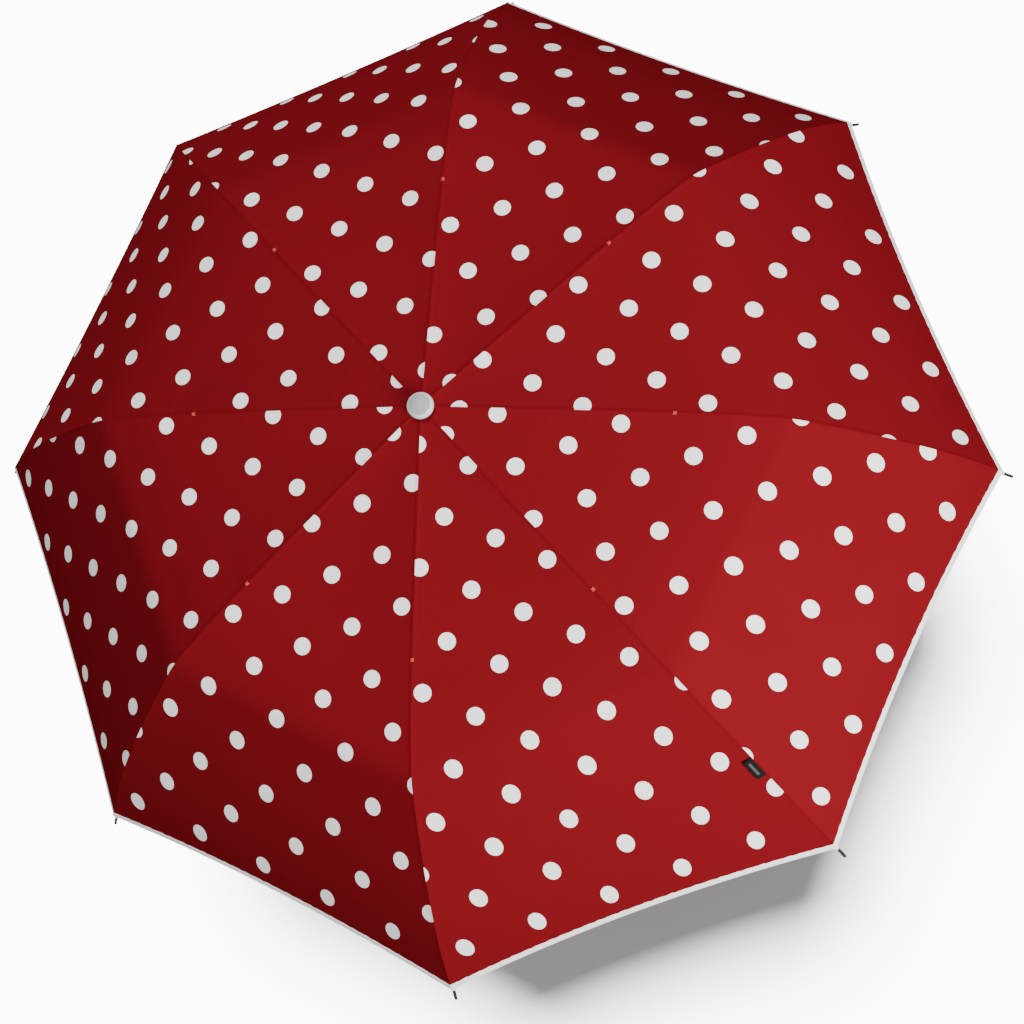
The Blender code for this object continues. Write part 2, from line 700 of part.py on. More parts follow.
def build_shaft():
    add_object("upper_tube", tube_mesh("upper_tube", UPPER_TUBE), parts, steel)
    add_object("middle_tube", tube_mesh("middle_tube", MIDDLE_TUBE), parts, steel)
    add_object("lower_tube", tube_mesh("lower_tube", LOWER_TUBE), parts, steel)
    add_object("crown", crown_mesh(), parts, black_plastic)
    add_object("top_cap", top_cap_mesh(), parts, pale_plastic)
    add_object("runner", runner_mesh(), parts, black_plastic)
    button = add_object("runner_button", button_mesh(), parts, pale_plastic)
    height = APEX_Z + RUNNER_HINGE[1] + (RUNNER_GRIP_START + RUNNER_BOTTOM) / 2.0
    button.matrix_world = Matrix.Translation((0.0, 0.0, height)) @ Matrix.Rotation(BUTTON_ANGLE, 4, "Z")


def build_handle():
    add_object("handle", handle_mesh(), parts, handle_plastic)
    add_object("handle_end_cap", end_cap_mesh(), parts, handle_plastic)
    add_object("tip_cup", tip_cup_mesh(), parts, handle_plastic)


def build_trim():
    height, slope = canopy_point(LABEL_PLACE)
    seam = hinge_empty("label_seam", LABEL_RIB, (LABEL_PLACE, height), slope)
    label = hang("label_tab", label_mesh(), black_cloth, seam)
    label.matrix_local = Matrix.Rotation(gore_bank(slope), 4, "X") @ Matrix.Translation((0.0, 0.0, LABEL_LIFT))
    height, _ = canopy_point(STRAP_START)
    _, slope = canopy_point(STRAP_START + STRAP_LENGTH * STRAP_SLOPE_PLACE)
    seam = hinge_empty("strap_seam", STRAP_RIB, (STRAP_START, height), slope)
    strap = hang("tie_strap", strap_mesh(), fabric, seam)
    strap.matrix_local = Matrix.Rotation(-gore_bank(slope), 4, "X") @ Matrix.Translation((0.0, 0.0, -STRAP_DROP))


clear_scene()
parts = new_collection("childrens_umbrella")
cutters = new_collection("cutters")
fabric = new_material("canopy_fabric", (0.30, 0.008, 0.012), 0.75)
steel = new_material("frame_steel", (0.55, 0.56, 0.58), 0.35, 1.0)
dark_plastic = new_material("tip_plastic", (0.06, 0.06, 0.065), 0.45)
black_plastic = new_material("frame_plastic", (0.02, 0.02, 0.022), 0.40)
pale_plastic = new_material("cap_plastic", (0.72, 0.71, 0.70), 0.35)
handle_plastic = new_material("handle_plastic", (0.30, 0.010, 0.015), 0.35)
black_cloth = new_material("label_cloth", (0.015, 0.015, 0.017), 0.85)
build_ribs()
build_canopy()
build_shaft()
build_handle()
build_trim()
for name in ("upper_tube", "middle_tube", "lower_tube", "crown", "top_cap", "runner", *HANDLE_PIECES):
    shade_round(parts.objects[name].data)
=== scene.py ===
import json
import math

import bmesh
import bpy
import numpy as np
from mathutils import Matrix, Vector

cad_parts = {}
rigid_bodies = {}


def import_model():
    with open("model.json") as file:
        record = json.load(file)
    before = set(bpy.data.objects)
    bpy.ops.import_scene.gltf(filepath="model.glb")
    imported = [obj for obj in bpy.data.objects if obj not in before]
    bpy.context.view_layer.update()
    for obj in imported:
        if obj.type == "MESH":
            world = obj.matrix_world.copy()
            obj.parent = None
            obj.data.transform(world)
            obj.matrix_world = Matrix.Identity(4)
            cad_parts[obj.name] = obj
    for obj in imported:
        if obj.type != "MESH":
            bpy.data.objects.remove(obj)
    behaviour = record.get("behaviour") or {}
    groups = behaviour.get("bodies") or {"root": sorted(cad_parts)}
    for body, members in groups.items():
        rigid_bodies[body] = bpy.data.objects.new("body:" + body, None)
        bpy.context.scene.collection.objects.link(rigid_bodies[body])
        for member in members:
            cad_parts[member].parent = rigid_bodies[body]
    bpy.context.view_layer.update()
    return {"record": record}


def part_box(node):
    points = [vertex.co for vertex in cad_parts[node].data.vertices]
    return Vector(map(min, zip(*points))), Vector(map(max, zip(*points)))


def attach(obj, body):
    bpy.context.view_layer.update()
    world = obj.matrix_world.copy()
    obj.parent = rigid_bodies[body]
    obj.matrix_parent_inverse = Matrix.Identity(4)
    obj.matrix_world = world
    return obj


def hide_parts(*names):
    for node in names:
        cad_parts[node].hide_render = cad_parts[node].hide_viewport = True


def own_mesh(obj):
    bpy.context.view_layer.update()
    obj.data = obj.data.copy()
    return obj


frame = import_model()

# ---------------------------------------------------------------- places, all read from the frame

RIBS = 8
SECTOR = math.tau / RIBS
HALF = SECTOR / 2.0
HEM_RADIUS = 0.430
CAP_CLEARANCE = 0.0005
RUNNER_HINGE_DEPTH = 0.003
JOINTS = {joint["name"]: joint for joint in frame["record"]["behaviour"]["joints"]}


def hinge_place(name):
    """A rib hinge as (distance from the shaft, height)."""
    x, y, z = JOINTS[name]["pos_m"]
    return math.hypot(x, y), z


CROWN_HINGE = hinge_place("inner_fold_1")
INNER_HINGE = hinge_place("middle_fold_1")
OUTER_HINGE = hinge_place("outer_fold_1")
STAY_HINGE = hinge_place("stretcher_swing_1")
CAP_LOW, CAP_HIGH = (Vector(corner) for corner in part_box("top_cap"))
RUNNER_HINGE_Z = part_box("runner")[1].z - RUNNER_HINGE_DEPTH
APEX = CAP_LOW.z - CAP_CLEARANCE

# ---------------------------------------------------------------- camera, light and floor

CAMERA_PLACE = Vector((-0.3739, -0.3800, APEX + 1.3670))
CAMERA_AIM = Vector((-0.0806, -0.0743, APEX))
CAMERA_ROLL = math.radians(-3.1)
CAMERA_LENS = 68.66
FLOOR_HALF_SIZE = 25.0
LIT_MIDDLE = (0.0, 0.0, 0.45)
FLOOR_LIGHT_PLACE = (0.62, 0.04, 2.60)
FLOOR_LIGHT_SPREAD = math.radians(22.0)
FLOOR_LIGHT_STRENGTH = 42.0
OVERHEAD = dict(place=(1.10, 0.35, 2.40), size=0.9, power=42.0, colour=(1.0, 1.0, 1.0))
SIDE_KEY = dict(place=(-0.92, -1.31, 1.25), size=0.8, power=58.0, colour=(1.0, 0.985, 0.975))
WORLD_STRENGTH = 0.46


def make_camera():
    """The image's up direction is close to +X, which is rib 1, with a small roll."""
    forward = (CAMERA_AIM - CAMERA_PLACE).normalized()
    right = forward.cross(Vector((1.0, 0.0, 0.0))).normalized()
    up = right.cross(forward)
    turn = Matrix.Rotation(CAMERA_ROLL, 3, forward)
    right, up = turn @ right, turn @ up
    axes = Matrix((right, up, -forward)).transposed()
    camera = bpy.data.objects.new("camera", bpy.data.cameras.new("camera"))
    camera.data.lens = CAMERA_LENS
    camera.matrix_world = Matrix.Translation(CAMERA_PLACE) @ axes.to_4x4()
    bpy.context.scene.collection.objects.link(camera)
    bpy.context.scene.camera = camera


def aim_lamp(lamp, place, target):
    """Put a lamp in the scene, at a place and turned to a target."""
    lamp.location = place
    direction = Vector(target) - Vector(place)
    lamp.rotation_euler = direction.to_track_quat("-Z", "Y").to_euler()
    bpy.context.scene.collection.objects.link(lamp)


def link_light(lamp, floor, state):
    """The lamp lights only the floor where state is INCLUDE, and all but the floor where it is EXCLUDE."""
    group = bpy.data.collections.new(f"{lamp.name}_receivers")
    group.objects.link(floor)
    group.collection_objects[0].light_linking.link_state = state
    lamp.light_linking.receiver_collection = group


def softbox(name, floor, place, size, power, colour):
    """A round softbox that lights the umbrella and not the floor."""
    light = bpy.data.lights.new(name, "AREA")
    light.shape = "DISK"
    light.size = size
    light.energy = power
    light.color = colour
    lamp = bpy.data.objects.new(name, light)
    aim_lamp(lamp, place, LIT_MIDDLE)
    link_light(lamp, floor, "EXCLUDE")


def floor_light(floor):
    """An even, soft light from above for the floor alone, so that the floor is pale as far as it goes."""
    light = bpy.data.lights.new("floor_light", "SUN")
    light.angle = FLOOR_LIGHT_SPREAD
    light.energy = FLOOR_LIGHT_STRENGTH
    lamp = bpy.data.objects.new("floor_light", light)
    aim_lamp(lamp, FLOOR_LIGHT_PLACE, (0.0, 0.0, 0.0))
    link_light(lamp, floor, "INCLUDE")


def make_stage():
    """A pale floor with its own light, an overhead softbox and a lower side light. The floor throws no light
    back, so that the strong floor light doesn't wash out the handle."""
    work = bmesh.new()
    bmesh.ops.create_grid(work, x_segments=1, y_segments=1, size=FLOOR_HALF_SIZE)
    mesh = bpy.data.meshes.new("floor")
    work.to_mesh(mesh)
    work.free()
    floor = bpy.data.objects.new("floor", mesh)
    bpy.context.scene.collection.objects.link(floor)
    mesh.materials.append(floor_material())
    floor.visible_diffuse = False
    floor.visible_glossy = False
    floor_light(floor)
    softbox("overhead", floor, **OVERHEAD)
    softbox("side_key", floor, **SIDE_KEY)
    world = bpy.data.worlds.new("studio")
    world.use_nodes = True
    sky = world.node_tree.nodes["Background"]
    sky.inputs["Color"].default_value = (1.0, 1.0, 1.0, 1.0)
    sky.inputs["Strength"].default_value = WORLD_STRENGTH
    bpy.context.scene.world = world


# ---------------------------------------------------------------- material helpers


class Nodes:
    """Short calls to build one material's node tree."""

    def __init__(self, name, roughness, metallic=0.0, specular=0.5):
        self.material = bpy.data.materials.new(name)
        self.material.use_nodes = True
        self.tree = self.material.node_tree
        self.shader = self.tree.nodes["Principled BSDF"]
        self.shader.inputs["Roughness"].default_value = roughness
        self.shader.inputs["Metallic"].default_value = metallic
        self.shader.inputs["Specular IOR Level"].default_value = specular

    def _set(self, socket, value):
        """Link a socket, set its value, or leave it as it is where value is None."""
        if isinstance(value, bpy.types.NodeSocket):
            self.tree.links.new(value, socket)
        elif value is not None:
            socket.default_value = value

    def maths(self, operation, a, b=None, c=None):
        node = self.tree.nodes.new("ShaderNodeMath")
        node.operation = operation
        for socket, value in zip(node.inputs, (a, b, c)):
            self._set(socket, value)
        return node.outputs[0]

    def attribute(self, name):
        """The three parts of a vector that the mesh carries."""
        node = self.tree.nodes.new("ShaderNodeAttribute")
        node.attribute_name = name
        split = self.tree.nodes.new("ShaderNodeSeparateXYZ")
        self.tree.links.new(node.outputs["Vector"], split.inputs[0])
        return split.outputs

    def place(self):
        """The point in the piece's own frame."""
        return self.tree.nodes.new("ShaderNodeTexCoord").outputs["Object"]

    def noise(self, vector, scale, detail=3.0, rough=0.55, stretch=None):
        """Noise from 0 to 1, longer along an axis whose stretch is below 1."""
        if stretch is not None:
            mapping = self.tree.nodes.new("ShaderNodeMapping")
            mapping.inputs["Scale"].default_value = stretch
            self.tree.links.new(vector, mapping.inputs["Vector"])
            vector = mapping.outputs[0]
        node = self.tree.nodes.new("ShaderNodeTexNoise")
        node.inputs["Scale"].default_value = scale
        node.inputs["Detail"].default_value = detail
        node.inputs["Roughness"].default_value = rough
        self.tree.links.new(vector, node.inputs["Vector"])
        return node.outputs["Fac"]

    def span(self, value, low, high, out_low, out_high, smooth=False):
        """Low to high becomes out_low to out_high."""
        node = self.tree.nodes.new("ShaderNodeMapRange")
        node.interpolation_type = "SMOOTHSTEP" if smooth else "LINEAR"
        for socket, number in zip(node.inputs, (value, low, high, out_low, out_high)):
            self._set(socket, number)
        return node.outputs[0]

    def mix(self, factor, a, b):
        """Colour a where the factor is 0, and colour b where it is 1."""
        node = self.tree.nodes.new("ShaderNodeMix")
        node.data_type = "RGBA"
        self._set(node.inputs[0], factor)
        for socket, value in ((node.inputs[6], a), (node.inputs[7], b)):
            self._set(socket, (*value, 1.0) if isinstance(value, tuple) else value)
        return node.outputs[2]

    def bump(self, height, distance, strength=1.0, below=None):
        node = self.tree.nodes.new("ShaderNodeBump")
        node.inputs["Strength"].default_value = strength
        node.inputs["Distance"].default_value = distance
        self.tree.links.new(height, node.inputs["Height"])
        if below is not None:
            self.tree.links.new(below, node.inputs["Normal"])
        return node.outputs[0]

    def finish(self, colour=None, roughness=None, normal=None):
        if colour is not None:
            self._set(self.shader.inputs["Base Color"], colour)
        if roughness is not None:
            self._set(self.shader.inputs["Roughness"], roughness)
        if normal is not None:
            self.tree.links.new(normal, self.shader.inputs["Normal"])
        return self.material


def floor_material():
    """Pale backdrop paper with a very faint mottle."""
    make = Nodes("floor_paper", 0.9)
    faint = make.noise(make.place(), 3.0)
    return make.finish(colour=make.mix(faint, (0.92, 0.92, 0.92), (0.90, 0.90, 0.90)))


# Dot print: two interleaved lattices in each gore, in metres across the gore and down its middle
DOT_ROW_PITCH = 0.0578
DOT_COLUMN_PITCH = 0.0610
DOT_EVEN = (0.0180, 0.0550)
DOT_ODD = (-0.0125, 0.0261)
DOT_RADIUS = 0.0067
DOT_LENGTHENING = 0.92
DOT_EDGE = 0.00018
RED = (0.148, 0.0062, 0.0095)
RED_DEEP = (0.136, 0.0056, 0.0086)
DOT_WHITE = (0.93, 0.91, 0.90)
DOT_RAGGEDNESS = 0.0003
WEAVE_PITCH = 0.00055
STITCH_FROM_SEAM = 0.0013
STITCH_PITCH = 0.0024
STITCH_CORE = 0.00015
STITCH_EDGE = 0.00035
# Painted shade: darker red for the sunk stitches and for a thin line along the seam
STITCH_PAINTED_SHADE = (0.085, 0.0015, 0.003)
GROOVE_WIDTH = 0.0005
GROOVE_PAINTED_SHADE = (0.06, 0.0010, 0.002)
SEAM_CONTRAST = 0.30
WEAVE_DEPTH = 0.00006
CREASE_DEPTH = 0.0012
CREASE_SCALE = 26.0
RAGGED_SCALE = 900.0
BROAD_SCALE = 9.0
FADED_ROUGHNESS = (0.46, 0.54)


def dot_distance(make, across, down, stretch, centre):
    """Distance from the nearest dot centre of one of the two interleaved lattices."""
    steps = []
    for value, start, pitch in ((across, centre[0], DOT_COLUMN_PITCH), (down, centre[1], DOT_ROW_PITCH)):
        turns = make.maths("MULTIPLY_ADD", value, 1.0 / pitch, 0.5 - start / pitch)
        part = make.maths("SUBTRACT", make.maths("FRACT", turns), 0.5)
        steps.append(make.maths("MULTIPLY", part, pitch))
    steps[1] = make.maths("MULTIPLY", steps[1], stretch)
    squares = [make.maths("MULTIPLY", step, step) for step in steps]
    return make.maths("SQRT", make.maths("ADD", *squares))


def weave(make, across, along):
    """A plain weave's height, from 0 to 1."""
    turns = [make.maths("MULTIPLY", value, math.pi / WEAVE_PITCH) for value in (across, along)]
    waves = [make.maths("SINE", turn) for turn in turns]
    product = make.maths("MULTIPLY", *waves)
    return make.span(product, -1.0, 1.0, 0.0, 1.0)


def canopy_material():
    """Red polyester with white dots. The mesh carries gore, which is the place across the gore and down its
    middle and the roundness of a dot, and seam, which is the distance from the seam and along it."""
    make = Nodes("canopy_fabric", 0.60, specular=0.0)
    across, down, stretch = make.attribute("gore")
    from_seam, along, _ = make.attribute("seam")
    even = dot_distance(make, across, down, stretch, DOT_EVEN)
    odd = dot_distance(make, across, down, stretch, DOT_ODD)
    nearest = make.maths("MINIMUM", even, odd)
    ragged = make.noise(make.place(), RAGGED_SCALE, 1.0)
    nearest = make.maths("MULTIPLY_ADD", ragged, DOT_RAGGEDNESS, nearest)
    inside = make.span(nearest, DOT_RADIUS - DOT_EDGE, DOT_RADIUS + DOT_EDGE, 1.0, 0.0, smooth=True)
    broad = make.noise(make.place(), BROAD_SCALE, 2.0)
    red = make.mix(broad, RED, RED_DEEP)
    colour = make.mix(inside, red, DOT_WHITE)
    # A felled seam: the cloth is double beside the rib, with a row of stitches sunk in it. The stitch dashes
    # and a thin line along the seam are darkened as painted shade
    stitch_line = make.maths("ABSOLUTE", make.maths("SUBTRACT", from_seam, STITCH_FROM_SEAM))
    on_line = make.span(stitch_line, STITCH_CORE, STITCH_EDGE, 1.0, 0.0)
    dash = make.maths("SINE", make.maths("MULTIPLY", along, math.tau / STITCH_PITCH))
    stitch = make.maths("MULTIPLY", on_line, make.span(dash, -0.2, 0.2, 0.0, 1.0))
    colour = make.mix(make.maths("MULTIPLY", stitch, SEAM_CONTRAST), colour, STITCH_PAINTED_SHADE)
    # Painted shade: a thin dark line right along the seam, where the two gores meet
    groove_painted_shade = make.span(from_seam, 0.0, GROOVE_WIDTH, SEAM_CONTRAST, 0.0)
    colour = make.mix(groove_painted_shade, colour, GROOVE_PAINTED_SHADE)
    height = make.maths("MULTIPLY_ADD", stitch, -0.6, weave(make, across, along))
    cloth = make.bump(height, WEAVE_DEPTH, 0.5)
    crease = make.noise(make.place(), CREASE_SCALE, 3.0, 0.5, stretch=(1.0, 1.0, 0.6))
    rough = make.span(broad, 0.3, 0.7, *FADED_ROUGHNESS)
    return make.finish(colour, rough, make.bump(crease, CREASE_DEPTH, 0.25, cloth))


TAPE_DEPTH = 0.00012
STEEL_DEPTH = 0.00006
PLASTIC_DEPTH = 0.00005
PLASTIC_GRAIN = 1800.0


def tape_material(name, colour, dark, pitch=0.0005):
    """A narrow woven tape: fine ribs across it and a little soiling."""
    make = Nodes(name, 0.75, specular=0.08)
    place = make.place()
    grain = make.noise(place, 1.0 / pitch, 1.0)
    soil = make.noise(place, 60.0, 3.0)
    shade = make.maths("MULTIPLY_ADD", grain, 0.35, make.maths("MULTIPLY", soil, 0.35))
    return make.finish(make.mix(shade, colour, dark), None, make.bump(grain, TAPE_DEPTH, 0.7))


def steel_material(name, colour, rough):
    """Plated steel, drawn lengthwise, with faint tarnish."""
    make = Nodes(name, rough, metallic=1.0)
    place = make.place()
    drawn = make.noise(place, 220.0, 2.0, stretch=(1.0, 1.0, 0.04))
    stain = make.noise(place, 35.0, 4.0)
    dark = tuple(0.62 * part for part in colour)
    tint = make.mix(make.span(stain, 0.45, 0.8, 0.0, 0.7), colour, dark)
    gloss = make.span(drawn, 0.2, 0.8, rough - 0.07, rough + 0.12)
    return make.finish(tint, gloss, make.bump(drawn, STEEL_DEPTH, 0.35))


def plastic_material(name, colour, rough, specular=0.5):
    """Moulded plastic with a fine spark-eroded grain and handling marks."""
    make = Nodes(name, rough, specular=specular)
    place = make.place()
    fine = make.noise(place, PLASTIC_GRAIN, 2.0)
    broad = make.noise(place, 45.0, 4.0)
    dull = tuple(min(1.0, 0.86 * part + 0.004) for part in colour)
    tint = make.mix(make.span(broad, 0.35, 0.75, 0.0, 0.8), colour, dull)
    gloss = make.span(broad, 0.3, 0.8, rough - 0.05, rough + 0.10)
    return make.finish(tint, gloss, make.bump(fine, PLASTIC_DEPTH, 0.5))


# ---------------------------------------------------------------- canopy surface

# Height of the cloth below the apex along a rib: a flat crown, a shoulder, then a steep arc to the hem
PROFILE = [
    (0.000, 0.0000),
    (0.100, -0.0105),
    (0.189, -0.0210),
    (0.250, -0.0325),
    (0.279, -0.0430),
    (0.293, -0.0538),
    (0.320, -0.0765),
    (0.360, -0.1145),
    (0.400, -0.1605),
    (HEM_RADIUS, -0.2044),
]
CLOTH = 0.00045
FIRST_RADIUS = 0.0050
HEM_SCALLOP = 0.014
GORE_SAG = 0.0026
SEAM_RISE = 0.00035
SEAM_WIDTH = 0.0024
PUCKER = 0.00007
PUCKER_PITCH = 0.0105
PUCKER_REACH = 0.014
PUCKER_START = 0.003
SAG_FULL_RADIUS = 0.18
PROFILE_STEPS = 2000


def smooth_profile():
    """Cubic through the profile, as arrays of distance along it, radius and height."""
    radius = np.array([point[0] for point in PROFILE])
    height = np.array([point[1] for point in PROFILE])
    slope = np.gradient(height, radius)
    fine = np.linspace(0.0, HEM_RADIUS, PROFILE_STEPS)
    index = np.clip(np.searchsorted(radius, fine, side="right") - 1, 0, len(radius) - 2)
    step = radius[index + 1] - radius[index]
    t = (fine - radius[index]) / step
    curve = (
        (2 * t**3 - 3 * t**2 + 1) * height[index]
        + (t**3 - 2 * t**2 + t) * step * slope[index]
        + (3 * t**2 - 2 * t**3) * height[index + 1]
        + (t**3 - t**2) * step * slope[index + 1]
    )
    arc = np.concatenate([[0.0], np.cumsum(np.hypot(np.diff(fine), np.diff(curve)))])
    return arc, fine, curve


ARC, ARC_RADIUS, ARC_HEIGHT = smooth_profile()
LENGTH = float(ARC[-1])


def arc_at(radius):
    """Distance along the profile at a radius."""
    return float(np.interp(radius, ARC_RADIUS, ARC))


START_ARC = arc_at(FIRST_RADIUS)
FOLD_ARC = arc_at(INNER_HINGE[0])
SHOULDER_ARC = arc_at(OUTER_HINGE[0])
# Each zone's start and end along the seam, and its rows of faces
ZONES = {
    "inner": (START_ARC, FOLD_ARC, 44),
    "middle": (FOLD_ARC, SHOULDER_ARC, 36),
    "outer": (SHOULDER_ARC, LENGTH, 58),
}
COLUMNS = 24
COLUMN_POWER = 1.6
ALONG_STEP = 0.0008
ACROSS_STEP = 0.004
SLOPE_STEP = 0.002


def cloth_point(along, across, side):
    """A point of the cloth in a rib's own plane, x out along the rib. across is the share of the chord from
    this rib to its neighbour, and side is +1 on the rib's anticlockwise side and -1 on the other."""
    radius = np.interp(along, ARC, ARC_RADIUS)
    height = np.interp(along, ARC, ARC_HEIGHT)
    x = radius * (1.0 - across * (1.0 - math.cos(SECTOR)))
    y = side * radius * across * math.sin(SECTOR)
    chord = radius * across * 2.0 * math.sin(HALF)
    sag = GORE_SAG * 4.0 * across * (1.0 - across) * np.clip(radius / SAG_FULL_RADIUS, 0.0, 1.0)
    seam = SEAM_RISE * (1.0 - np.clip(chord / SEAM_WIDTH, 0.0, 1.0) ** 2)
    fade = np.exp(-((chord / PUCKER_REACH) ** 2)) * np.clip(chord / PUCKER_START, 0.0, 1.0)
    pucker = PUCKER * fade * np.sin(math.tau * along / PUCKER_PITCH + side * 0.9)
    return np.stack([x, y, APEX + height - sag + seam + pucker], -1)


def cloth_frame(along, across, side):
    """Points and outward normals of the cloth, by small steps along and across it."""
    here = cloth_point(along, across, side)
    ahead = cloth_point(np.minimum(along + ALONG_STEP, LENGTH), across, side)
    behind = cloth_point(np.maximum(along - ALONG_STEP, 0.0), across, side)
    wide = cloth_point(along, across + ACROSS_STEP, side)
    near = cloth_point(along, np.maximum(across - ACROSS_STEP, 0.0), side)
    normal = np.cross(ahead - behind, (wide - near) * side)
    normal /= np.linalg.norm(normal, axis=-1, keepdims=True)
    return here, normal * np.sign(normal[..., 2:3])


def scallop(across):
    """How far the hem lies in from the straight line between two ribs, for a share of the chord."""
    return HEM_SCALLOP * 4.0 * across * (1.0 - across)


def rib_turn(rib):
    """The turn from rib 1's plane to a rib's own."""
    return Matrix.Rotation(-(rib - 1) * SECTOR, 4, "Z")


def gore_facts(along, across, side):
    """The place across the gore and down its middle, both in plan, and how round a dot is on the slope: the
    print is laid out in plan, so its dots are longer down the steep part."""
    radius = np.interp(along, ARC, ARC_RADIUS)
    down = radius * math.cos(HALF)
    over = radius * math.sin(HALF) * (1.0 - 2.0 * across) * -side
    before, after = along - SLOPE_STEP, along + SLOPE_STEP
    rise = np.interp(after, ARC, ARC_HEIGHT) - np.interp(before, ARC, ARC_HEIGHT)
    run = (np.interp(after, ARC, ARC_RADIUS) - np.interp(before, ARC, ARC_RADIUS)) * math.cos(HALF)
    slope_share = np.sqrt(1.0 + (rise / np.maximum(run, 1e-6)) ** 2)
    return over, down, 1.0 + (slope_share - 1.0) * (1.0 - DOT_LENGTHENING)


def link(name, mesh, material):
    """Put a mesh in the scene as an object with one material."""
    obj = bpy.data.objects.new(name, mesh)
    bpy.context.scene.collection.objects.link(obj)
    mesh.materials.append(material)
    return obj


def thin_grid(name, top, normals, thickness, facts, turn):
    """A closed thin sheet under a grid of points, with its true normals and the facts its material reads."""
    rows, columns = top.shape[:2]
    bottom = top - normals * thickness
    count = rows * columns
    points = np.concatenate([top.reshape(-1, 3), bottom.reshape(-1, 3)])
    index = np.arange(count).reshape(rows, columns)
    quads = np.stack([index[:-1, :-1], index[:-1, 1:], index[1:, 1:], index[1:, :-1]], -1).reshape(-1, 4)
    a, b, _, d = (points[quads[0, i]] for i in range(4))
    if np.dot(np.cross(b - a, d - a), normals.reshape(-1, 3)[quads[0, 0]]) < 0.0:
        quads = quads[:, ::-1]
    border = np.concatenate([index[0, :-1], index[:-1, -1], index[-1, :0:-1], index[:0:-1, 0]])
    after = np.roll(border, -1)
    rim = np.stack([border, after, after + count, border + count], -1)
    faces = np.concatenate([quads, quads[:, ::-1] + count, rim])
    mesh = bpy.data.meshes.new(name)
    mesh.from_pydata(points.tolist(), [], faces.tolist())
    work = bmesh.new()
    work.from_mesh(mesh)
    bmesh.ops.recalc_face_normals(work, faces=work.faces)
    work.to_mesh(mesh)
    work.free()
    for key, values in facts.items():
        layer = mesh.attributes.new(key, "FLOAT_VECTOR", "POINT")
        doubled = np.concatenate([values.reshape(-1, 3)] * 2)
        layer.data.foreach_set("vector", doubled.astype(np.float32).ravel())
    mesh.shade_smooth()
    flat = normals.reshape(-1, 3)
    both = np.concatenate([flat, -flat])
    rim_start = 2 * len(quads)
    loops = np.array([loop.vertex_index for loop in mesh.loops])
    per_loop = both[loops]
    for polygon in mesh.polygons[rim_start:]:
        per_loop[list(polygon.loop_indices)] = np.array(polygon.normal)
    mesh.normals_split_custom_set(per_loop.tolist())
    mesh.transform(turn)
    return mesh


SHARP_ANGLE = math.radians(50.0)


def tidy_mesh(mesh):
    """Outward normals and smooth shading, with sharp edges where faces meet steeply."""
    work = bmesh.new()
    work.from_mesh(mesh)
    bmesh.ops.recalc_face_normals(work, faces=work.faces)
    work.to_mesh(mesh)
    work.free()
    mesh.shade_smooth()
    mesh.set_sharp_from_angle(angle=SHARP_ANGLE)


def lofted(name, rings, loop=False):
    """A closed mesh through rings of points, capped at both ends or joined end to end."""
    rings = np.asarray(rings, float)
    steps, around = rings.shape[:2]
    index = np.arange(steps * around).reshape(steps, around)
    if loop:
        index = np.concatenate([index, index[:1]])
    after = np.roll(index, -1, axis=1)
    faces = np.stack([index[:-1], after[:-1], after[1:], index[1:]], -1).reshape(-1, 4).tolist()
    if not loop:
        faces += [index[0].tolist(), index[-1].tolist()]
    mesh = bpy.data.meshes.new(name)
    mesh.from_pydata(rings.reshape(-1, 3).tolist(), [], faces)
    tidy_mesh(mesh)
    return mesh


def merged(name, meshes):
    """One mesh from several, which are removed."""
    work = bmesh.new()
    for mesh in meshes:
        work.from_mesh(mesh)
        bpy.data.meshes.remove(mesh)
    result = bpy.data.meshes.new(name)
    work.to_mesh(result)
    work.free()
    tidy_mesh(result)
    return result


SIDE_NAMES = {1: "left", -1: "right"}
PROBE_ACROSS = 0.30
PROBE_ALONG = 0.01


def squash_with_fold(piece, side, zone):
    """Work out the rib's line and the way aside from it in the piece's own plane, half way along its zone,
    and give the piece a mesh of its own.
    """
    low, high, _ = ZONES[zone]
    along = (low + high) / 2.0
    start = cloth_point(along, 0.0, side)
    wide = cloth_point(along, PROBE_ACROSS, side)
    ahead = cloth_point(along + PROBE_ALONG, 0.0, side)
    rib_line = Vector(ahead - start).normalized()
    aside = Vector(wide - start)
    aside = (aside - aside.dot(rib_line) * rib_line).normalized()
    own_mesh(piece)


def gore_of(rib, side):
    """The canopy panel on one side of a rib: panel n lies clockwise of rib n."""
    return rib if side < 0 else (rib - 2) % RIBS + 1


def cloth_piece(rib, side, zone, material):
    """The cloth of half a gore over one of a rib's three parts."""
    low, high, rows = ZONES[zone]
    across = 0.5 * np.linspace(0.0, 1.0, COLUMNS + 1) ** COLUMN_POWER
    down = np.linspace(0.0, 1.0, rows + 1)[:, None]
    across = np.broadcast_to(across, (rows + 1, COLUMNS + 1))
    end = high - scallop(across) if zone == "outer" else high
    along = low + down * (end - low) * np.ones_like(across)
    top, normals = cloth_frame(along, across, side)
    over, middle, stretch = gore_facts(along, across, side)
    chord = np.interp(along, ARC, ARC_RADIUS) * across * 2.0 * math.sin(HALF)
    facts = {
        "gore": np.stack([over, middle, stretch], -1),
        "seam": np.stack([chord, along, np.zeros_like(along)], -1),
    }
    name = f"canopy_{zone}_{rib}_{SIDE_NAMES[side]}"
    mesh = thin_grid(name, top, normals, CLOTH, facts, rib_turn(rib))
    piece = link(name, mesh, material)
    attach(piece, f"{zone}_rib_{rib}")
    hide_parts(f"canopy_panel_{gore_of(rib, side)}")
    squash_with_fold(piece, side, zone)
    return piece


# ---------------------------------------------------------------- hem binding, a soft tape round the edge

TAPE_WIDTH = 0.0066
TAPE_SWELL = 0.00045
TAPE_STEPS = 56
# The upper half of the tape's section, from its inner edge to the hem: share of its width, share of its swell
TAPE_SECTION = [(1.0, 0.0), (0.94, 0.8), (0.6, 1.0), (0.15, 1.0), (-0.06, 0.4)]
